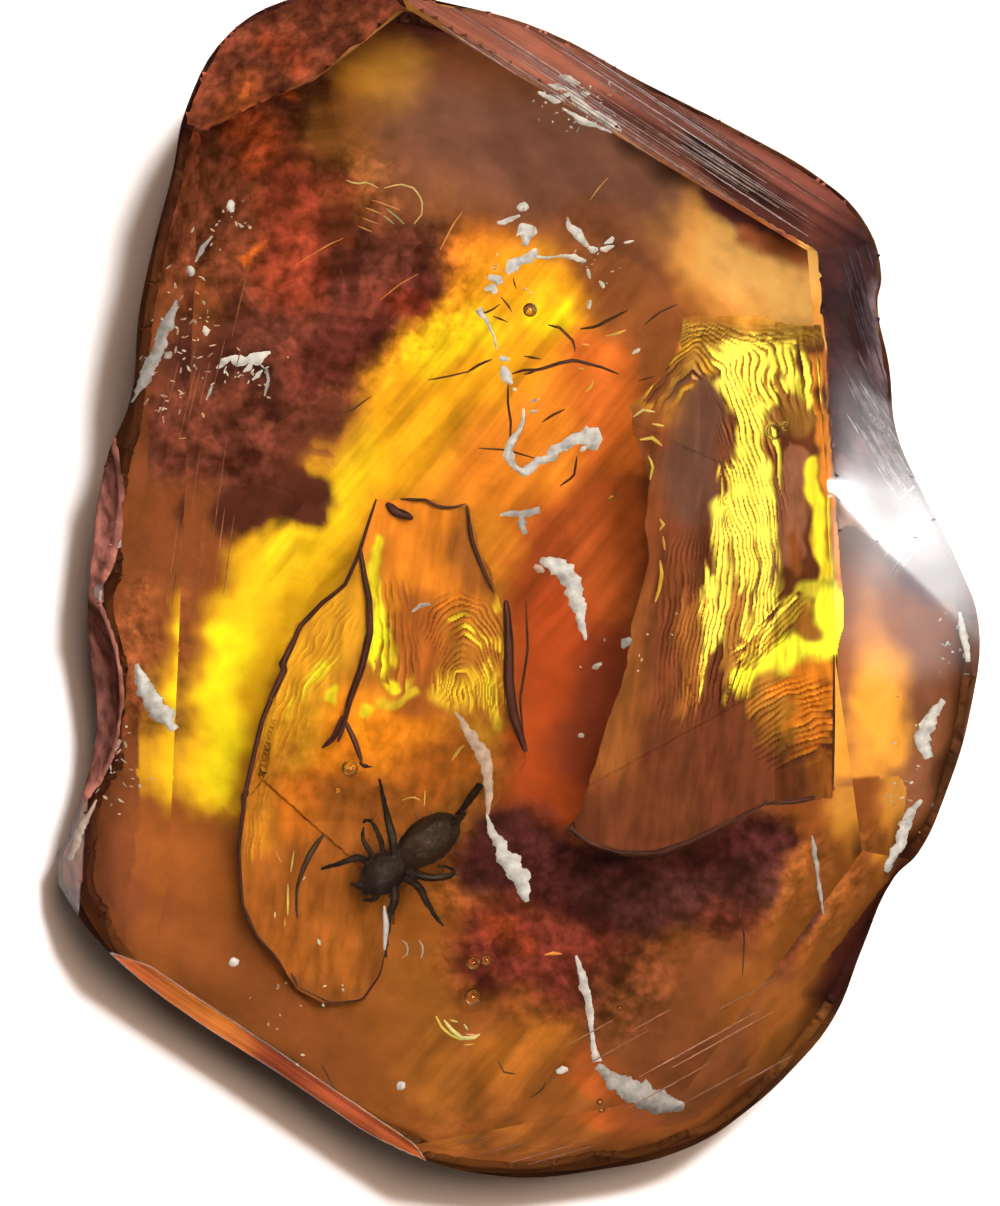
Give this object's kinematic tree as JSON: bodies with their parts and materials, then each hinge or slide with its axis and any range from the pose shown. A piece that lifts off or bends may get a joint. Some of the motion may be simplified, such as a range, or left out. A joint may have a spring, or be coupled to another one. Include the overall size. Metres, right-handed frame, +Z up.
{
  "type": "spider in amber",
  "caption": "Ground and polished piece of clear golden-brown amber with a small fossil spider and a scrap of plant sealed inside.",
  "frame": {"origin": "middle of the stone's bounding box, on the level it rests on", "axes": "+Z up out of the polished face, which lies uppermost; +Y along the stone's length, towards its narrow upper end; +X to the right of the face"},
  "size_m": [0.0239, 0.0308, 0.0086],
  "materials": {
    "amber": "clear golden-brown fossil resin, hand-polished, with fine grinding marks, a crackled red-brown weathered back, internal fractures and chalky white crust in the cracks",
    "spider_skin": "dull blackish-brown chitin with an olive-grey abdomen",
    "dark_plant": "dark brown, dull plant remains"
  },
  "bodies": {
    "root": {"amber_lower": "amber", "amber_upper": "amber", "spider": "spider_skin", "lost_leg": "spider_skin", "plant_fragment": "dark_plant"}
  },
  "joints": []
}
